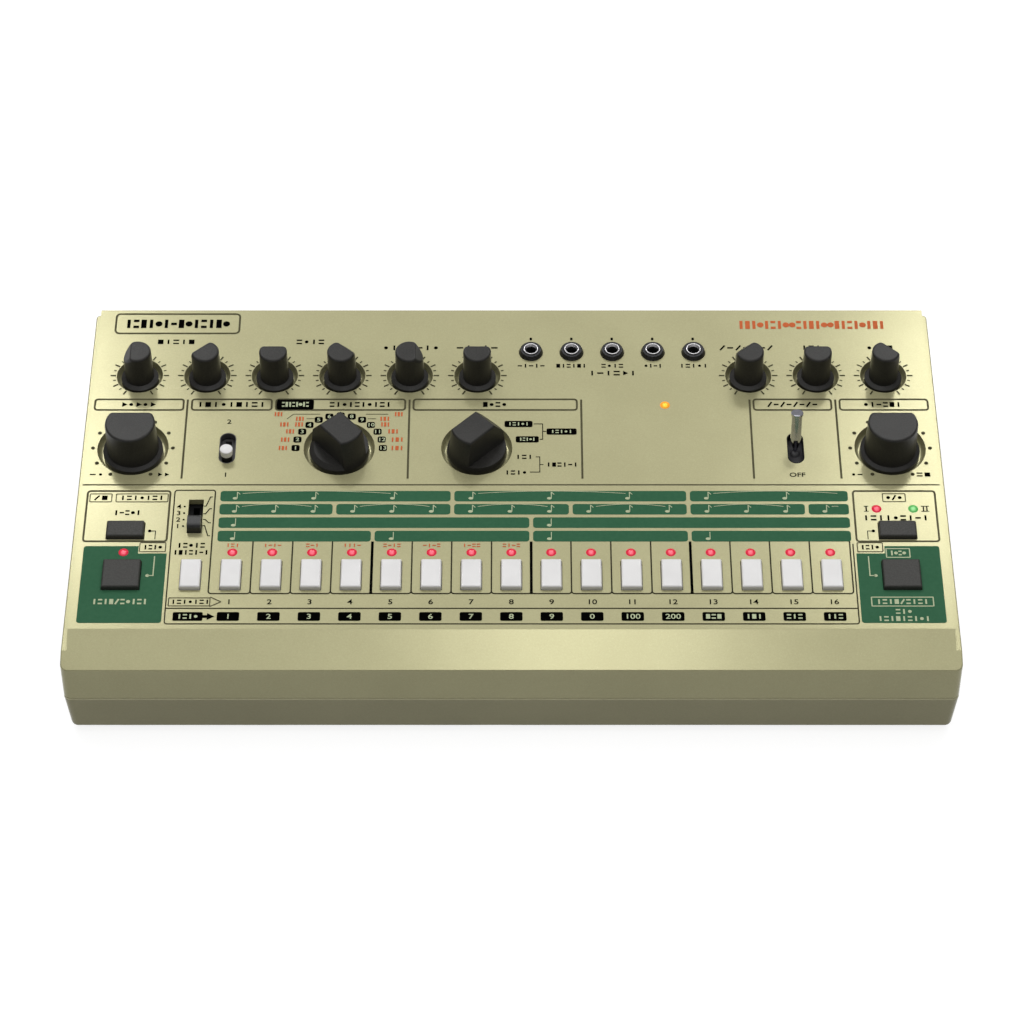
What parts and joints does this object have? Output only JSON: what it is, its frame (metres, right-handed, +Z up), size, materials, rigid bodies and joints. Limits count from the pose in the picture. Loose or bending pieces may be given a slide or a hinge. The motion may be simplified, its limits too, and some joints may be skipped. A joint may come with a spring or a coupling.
{
  "type": "drum machine",
  "caption": "Desktop drum machine: wedge-shaped case whose sloping panel carries knobs, selectors, lit step buttons, slide and toggle switches and jacks; sockets behind.",
  "frame": {"origin": "on the table, under the middle of the whole machine", "axes": "+X to the right seen from the front, +Y to the back, +Z up"},
  "size_m": [0.3056, 0.165, 0.0595],
  "materials": {
    "case_paint": "satin champagne paint",
    "foot_rubber": "matt",
    "screw_steel": "zinc plated",
    "board": "solder resist",
    "dark_plastic": "moulded",
    "knob_plastic": "fine grain",
    "white_plastic": "smooth",
    "socket_plastic": "moulded",
    "black_metal": "black, turned",
    "plated_metal": "nickel plated",
    "chrome": "polished",
    "lamp_plastic": "clear lens"
  },
  "bodies": {
    "case": {"top_shell": "case_paint", "bottom_shell": "case_paint", "rubber_feet": "foot_rubber", "case_screws": "screw_steel", "control_board": "board", "rear_board": "board", "board_link": "dark_plastic", "board_screws": "screw_steel", "pot_bodies": "plated_metal", "selector_bodies": "dark_plastic", "tact_switches": "dark_plastic", "variant_switch_body": "dark_plastic", "scale_switch_body": "dark_plastic", "toggle_switch_body": "dark_plastic", "lamps": "lamp_plastic", "jack_bodies": "socket_plastic", "jack_collars": "black_metal", "din_sockets": "socket_plastic", "usb_socket": "plated_metal", "dc_inlet": "socket_plastic", "output_jack": "socket_plastic", "power_switch_body": "dark_plastic"},
    "small_knob_1": {"small_knob_1": "knob_plastic"},
    "small_knob_2": {"small_knob_2": "knob_plastic"},
    "small_knob_3": {"small_knob_3": "knob_plastic"},
    "small_knob_4": {"small_knob_4": "knob_plastic"},
    "small_knob_5": {"small_knob_5": "knob_plastic"},
    "small_knob_6": {"small_knob_6": "knob_plastic"},
    "small_knob_7": {"small_knob_7": "knob_plastic"},
    "small_knob_8": {"small_knob_8": "knob_plastic"},
    "small_knob_9": {"small_knob_9": "knob_plastic"},
    "tempo_knob": {"tempo_knob": "knob_plastic"},
    "volume_knob": {"volume_knob": "knob_plastic"},
    "instrument_selector": {"instrument_selector": "knob_plastic"},
    "mode_selector": {"mode_selector": "knob_plastic"},
    "variant_slider": {"variant_slider": "white_plastic"},
    "scale_slider": {"scale_slider": "dark_plastic"},
    "toggle_lever": {"toggle_lever": "chrome"},
    "power_slider": {"power_slider": "dark_plastic"},
    "function_button": {"function_button": "white_plastic"},
    "step_button_01": {"step_button_01": "white_plastic"},
    "step_button_02": {"step_button_02": "white_plastic"},
    "step_button_03": {"step_button_03": "white_plastic"},
    "step_button_04": {"step_button_04": "white_plastic"},
    "step_button_05": {"step_button_05": "white_plastic"},
    "step_button_06": {"step_button_06": "white_plastic"},
    "step_button_07": {"step_button_07": "white_plastic"},
    "step_button_08": {"step_button_08": "white_plastic"},
    "step_button_09": {"step_button_09": "white_plastic"},
    "step_button_10": {"step_button_10": "white_plastic"},
    "step_button_11": {"step_button_11": "white_plastic"},
    "step_button_12": {"step_button_12": "white_plastic"},
    "step_button_13": {"step_button_13": "white_plastic"},
    "step_button_14": {"step_button_14": "white_plastic"},
    "step_button_15": {"step_button_15": "white_plastic"},
    "step_button_16": {"step_button_16": "white_plastic"},
    "start_button": {"start_button": "knob_plastic"},
    "tap_button": {"tap_button": "knob_plastic"},
    "clear_button": {"clear_button": "knob_plastic"},
    "pattern_button": {"pattern_button": "knob_plastic"}
  },
  "joints": [
    {"name": "small_knob_1_turn", "type": "hinge", "parent": "case", "child": "small_knob_1", "pos_m": [-0.13435, 0.04759, 0.0461], "axis": [0, 0.0593, -0.9982], "range_deg": [-60, 240]},
    {"name": "small_knob_2_turn", "type": "hinge", "parent": "case", "child": "small_knob_2", "pos_m": [-0.10995, 0.04759, 0.0461], "axis": [0, 0.0593, -0.9982], "range_deg": [-109, 191]},
    {"name": "small_knob_3_turn", "type": "hinge", "parent": "case", "child": "small_knob_3", "pos_m": [-0.08555, 0.04759, 0.0461], "axis": [0, 0.0593, -0.9982], "range_deg": [-150, 150]},
    {"name": "small_knob_4_turn", "type": "hinge", "parent": "case", "child": "small_knob_4", "pos_m": [-0.06115, 0.04759, 0.0461], "axis": [0, 0.0593, -0.9982], "range_deg": [-191, 109]},
    {"name": "small_knob_5_turn", "type": "hinge", "parent": "case", "child": "small_knob_5", "pos_m": [-0.03675, 0.04759, 0.0461], "axis": [0, 0.0593, -0.9982], "range_deg": [-240, 60]},
    {"name": "small_knob_6_turn", "type": "hinge", "parent": "case", "child": "small_knob_6", "pos_m": [-0.01235, 0.04759, 0.0461], "axis": [0, 0.0593, -0.9982], "range_deg": [-150, 150]},
    {"name": "small_knob_7_turn", "type": "hinge", "parent": "case", "child": "small_knob_7", "pos_m": [0.08555, 0.04759, 0.0461], "axis": [0, 0.0593, -0.9982], "range_deg": [-109, 191]},
    {"name": "small_knob_8_turn", "type": "hinge", "parent": "case", "child": "small_knob_8", "pos_m": [0.10995, 0.04759, 0.0461], "axis": [0, 0.0593, -0.9982], "range_deg": [-150, 150]},
    {"name": "small_knob_9_turn", "type": "hinge", "parent": "case", "child": "small_knob_9", "pos_m": [0.13435, 0.04759, 0.0461], "axis": [0, 0.0593, -0.9982], "range_deg": [-191, 109]},
    {"name": "tempo_knob_turn", "type": "hinge", "parent": "case", "child": "tempo_knob", "pos_m": [-0.13435, 0.01286, 0.04404], "axis": [0, 0.0593, -0.9982], "range_deg": [-150, 150]},
    {"name": "volume_knob_turn", "type": "hinge", "parent": "case", "child": "volume_knob", "pos_m": [0.13435, 0.01286, 0.04404], "axis": [0, 0.0593, -0.9982], "range_deg": [-150, 150]},
    {"name": "instrument_selector_turn", "type": "hinge", "parent": "case", "child": "instrument_selector", "pos_m": [-0.06115, 0.01286, 0.04404], "axis": [0, 0.0593, -0.9982], "range_deg": [-49, 131]},
    {"name": "mode_selector_turn", "type": "hinge", "parent": "case", "child": "mode_selector", "pos_m": [-0.01235, 0.01286, 0.04404], "axis": [0, 0.0593, -0.9982], "range_deg": [0, 90]},
    {"name": "variant_slide", "type": "slide", "parent": "case", "child": "variant_slider", "axis": [0, 0.9982, 0.0593], "range_m": [0, 0.008]},
    {"name": "scale_slide", "type": "slide", "parent": "case", "child": "scale_slider", "axis": [0, 0.9982, 0.0593], "range_m": [0, 0.009]},
    {"name": "toggle_tilt", "type": "hinge", "parent": "case", "child": "toggle_lever", "pos_m": [0.1008, 0.01311, 0.03985], "axis": [1, 0, 0], "range_deg": [0, 29]},
    {"name": "power_slide", "type": "slide", "parent": "case", "child": "power_slider", "axis": [1, 0, 0], "range_m": [0, 0.003]},
    {"name": "function_button_press", "type": "slide", "parent": "case", "child": "function_button", "axis": [0, 0.0593, -0.9982], "range_m": [0, 0.0008], "stiffness_N_per_m": 600, "springref_m": -0.0005},
    {"name": "step_button_01_press", "type": "slide", "parent": "case", "child": "step_button_01", "axis": [0, 0.0593, -0.9982], "range_m": [0, 0.0008], "stiffness_N_per_m": 600, "springref_m": -0.0005},
    {"name": "step_button_02_press", "type": "slide", "parent": "case", "child": "step_button_02", "axis": [0, 0.0593, -0.9982], "range_m": [0, 0.0008], "stiffness_N_per_m": 600, "springref_m": -0.0005},
    {"name": "step_button_03_press", "type": "slide", "parent": "case", "child": "step_button_03", "axis": [0, 0.0593, -0.9982], "range_m": [0, 0.0008], "stiffness_N_per_m": 600, "springref_m": -0.0005},
    {"name": "step_button_04_press", "type": "slide", "parent": "case", "child": "step_button_04", "axis": [0, 0.0593, -0.9982], "range_m": [0, 0.0008], "stiffness_N_per_m": 600, "springref_m": -0.0005},
    {"name": "step_button_05_press", "type": "slide", "parent": "case", "child": "step_button_05", "axis": [0, 0.0593, -0.9982], "range_m": [0, 0.0008], "stiffness_N_per_m": 600, "springref_m": -0.0005},
    {"name": "step_button_06_press", "type": "slide", "parent": "case", "child": "step_button_06", "axis": [0, 0.0593, -0.9982], "range_m": [0, 0.0008], "stiffness_N_per_m": 600, "springref_m": -0.0005},
    {"name": "step_button_07_press", "type": "slide", "parent": "case", "child": "step_button_07", "axis": [0, 0.0593, -0.9982], "range_m": [0, 0.0008], "stiffness_N_per_m": 600, "springref_m": -0.0005},
    {"name": "step_button_08_press", "type": "slide", "parent": "case", "child": "step_button_08", "axis": [0, 0.0593, -0.9982], "range_m": [0, 0.0008], "stiffness_N_per_m": 600, "springref_m": -0.0005},
    {"name": "step_button_09_press", "type": "slide", "parent": "case", "child": "step_button_09", "axis": [0, 0.0593, -0.9982], "range_m": [0, 0.0008], "stiffness_N_per_m": 600, "springref_m": -0.0005},
    {"name": "step_button_10_press", "type": "slide", "parent": "case", "child": "step_button_10", "axis": [0, 0.0593, -0.9982], "range_m": [0, 0.0008], "stiffness_N_per_m": 600, "springref_m": -0.0005},
    {"name": "step_button_11_press", "type": "slide", "parent": "case", "child": "step_button_11", "axis": [0, 0.0593, -0.9982], "range_m": [0, 0.0008], "stiffness_N_per_m": 600, "springref_m": -0.0005},
    {"name": "step_button_12_press", "type": "slide", "parent": "case", "child": "step_button_12", "axis": [0, 0.0593, -0.9982], "range_m": [0, 0.0008], "stiffness_N_per_m": 600, "springref_m": -0.0005},
    {"name": "step_button_13_press", "type": "slide", "parent": "case", "child": "step_button_13", "axis": [0, 0.0593, -0.9982], "range_m": [0, 0.0008], "stiffness_N_per_m": 600, "springref_m": -0.0005},
    {"name": "step_button_14_press", "type": "slide", "parent": "case", "child": "step_button_14", "axis": [0, 0.0593, -0.9982], "range_m": [0, 0.0008], "stiffness_N_per_m": 600, "springref_m": -0.0005},
    {"name": "step_button_15_press", "type": "slide", "parent": "case", "child": "step_button_15", "axis": [0, 0.0593, -0.9982], "range_m": [0, 0.0008], "stiffness_N_per_m": 600, "springref_m": -0.0005},
    {"name": "step_button_16_press", "type": "slide", "parent": "case", "child": "step_button_16", "axis": [0, 0.0593, -0.9982], "range_m": [0, 0.0008], "stiffness_N_per_m": 600, "springref_m": -0.0005},
    {"name": "start_button_press", "type": "slide", "parent": "case", "child": "start_button", "axis": [0, 0.0593, -0.9982], "range_m": [0, 0.0008], "stiffness_N_per_m": 600, "springref_m": -0.0005},
    {"name": "tap_button_press", "type": "slide", "parent": "case", "child": "tap_button", "axis": [0, 0.0593, -0.9982], "range_m": [0, 0.0008], "stiffness_N_per_m": 600, "springref_m": -0.0005},
    {"name": "clear_button_press", "type": "slide", "parent": "case", "child": "clear_button", "axis": [0, 0.0593, -0.9982], "range_m": [0, 0.0008], "stiffness_N_per_m": 600, "springref_m": -0.0005},
    {"name": "pattern_button_press", "type": "slide", "parent": "case", "child": "pattern_button", "axis": [0, 0.0593, -0.9982], "range_m": [0, 0.0008], "stiffness_N_per_m": 600, "springref_m": -0.0005}
  ]
}
